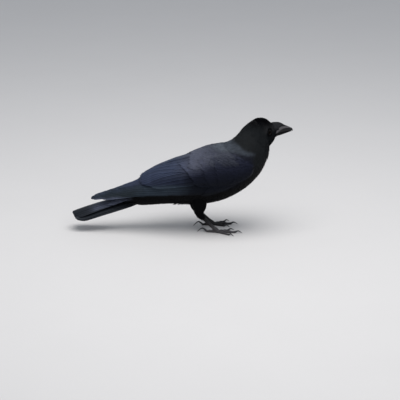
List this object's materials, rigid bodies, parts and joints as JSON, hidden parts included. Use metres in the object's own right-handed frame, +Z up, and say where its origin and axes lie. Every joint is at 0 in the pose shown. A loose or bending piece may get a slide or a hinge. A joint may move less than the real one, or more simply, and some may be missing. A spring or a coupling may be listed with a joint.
{
  "type": "large-billed crow",
  "caption": "Life-size large-billed crow standing on level ground, wings folded, tail closed, head turned to its left.",
  "frame": {"origin": "on the ground under the middle of the bounding box", "axes": "+X to the bird's front, +Y to its left, +Z up"},
  "size_m": [0.4681, 0.1212, 0.2441],
  "materials": {
    "plumage": "satin black feathers with a blue sheen",
    "horn": "smooth black horn",
    "eye": "wet dark brown",
    "leg_scales": "dark grey horny scales"
  },
  "bodies": {
    "root": {"head": "plumage", "neck": "plumage", "trunk": "plumage", "wing_arm_right": "plumage", "wing_arm_left": "plumage", "wing_hand_right": "plumage", "wing_hand_left": "plumage", "tail_middle": "plumage", "tail_side_right": "plumage", "tail_side_left": "plumage", "thigh_right": "plumage", "thigh_left": "plumage", "bill_upper": "horn", "bill_lower": "horn", "claw_middle_right": "horn", "claw_inner_right": "horn", "claw_outer_right": "horn", "claw_hind_right": "horn", "claw_middle_left": "horn", "claw_inner_left": "horn", "claw_outer_left": "horn", "claw_hind_left": "horn", "eye_right": "eye", "eye_left": "eye", "shank_right": "leg_scales", "shank_left": "leg_scales", "toe_middle_right": "leg_scales", "toe_inner_right": "leg_scales", "toe_outer_right": "leg_scales", "toe_hind_right": "leg_scales", "toe_middle_left": "leg_scales", "toe_inner_left": "leg_scales", "toe_outer_left": "leg_scales", "toe_hind_left": "leg_scales"}
  },
  "joints": []
}
